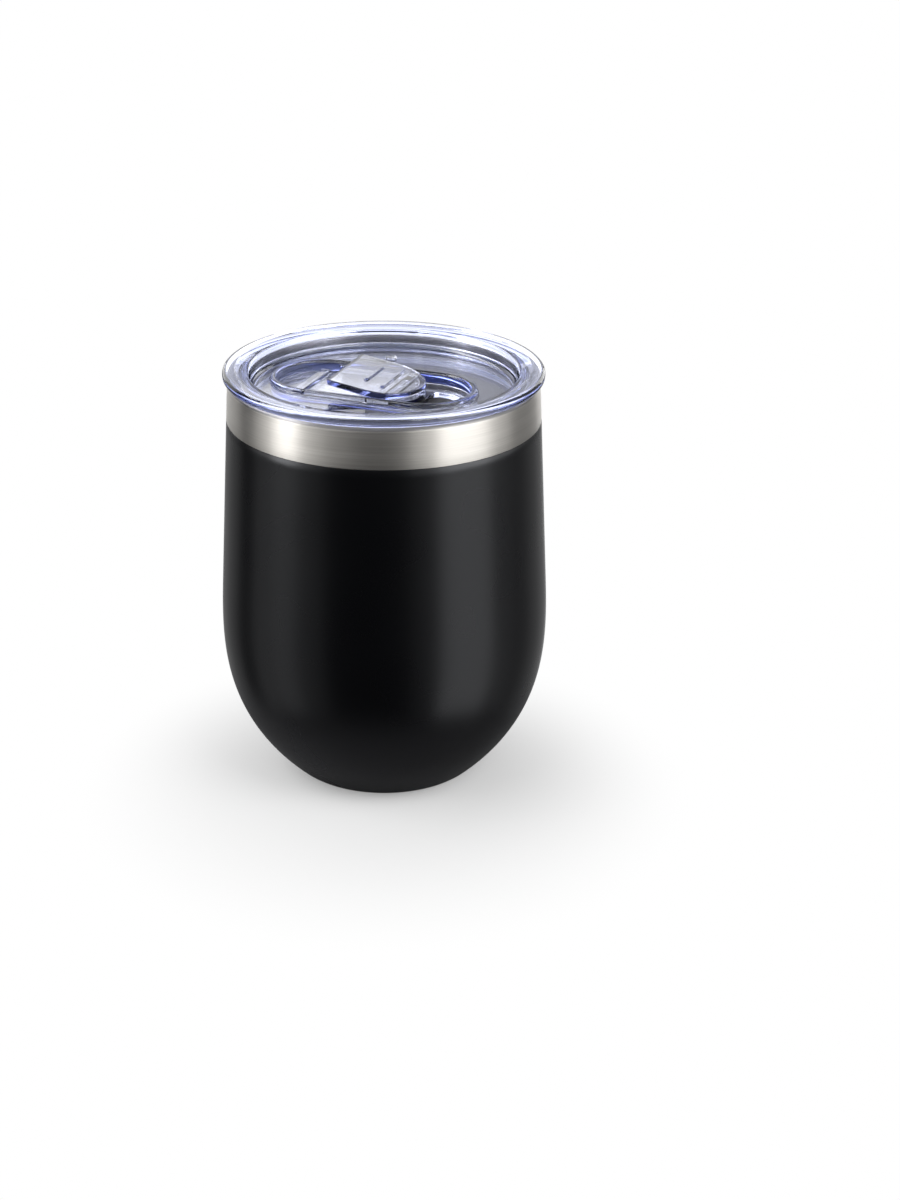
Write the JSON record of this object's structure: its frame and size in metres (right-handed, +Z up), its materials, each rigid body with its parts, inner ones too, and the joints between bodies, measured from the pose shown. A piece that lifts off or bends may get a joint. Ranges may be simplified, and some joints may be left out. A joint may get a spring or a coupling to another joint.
{
  "type": "insulated tumbler with sliding lid",
  "caption": "Egg-shaped double-wall steel tumbler with a black powder coat, a bare steel band and a clear press-in lid whose drink hole has a sliding closure, shown open.",
  "frame": {"origin": "centre of the foot, on the surface the cup stands on", "axes": "+Z up the cup's axis, +X along the lid's track towards the drink hole"},
  "size_m": [0.088, 0.088, 0.1136],
  "materials": {
    "steel": "brushed around, bare on the band, inside and under the foot",
    "powder_coat": "satin black powder coat",
    "clear_lid": "clear glossy copolyester with a faint blue-violet edge tint",
    "silicone": "milky translucent silicone",
    "clear_slider": "clear glossy copolyester with a faint blue-violet edge tint"
  },
  "bodies": {
    "tumbler": {"vessel": "steel", "powder_coat_shell": "powder_coat", "lid": "clear_lid", "gasket": "silicone"},
    "slider": {"slider": "clear_slider"}
  },
  "joints": [
    {"name": "slider_slide", "type": "slide", "parent": "tumbler", "child": "slider", "axis": [1, 0, 0], "range_m": [0, 0.012]}
  ]
}
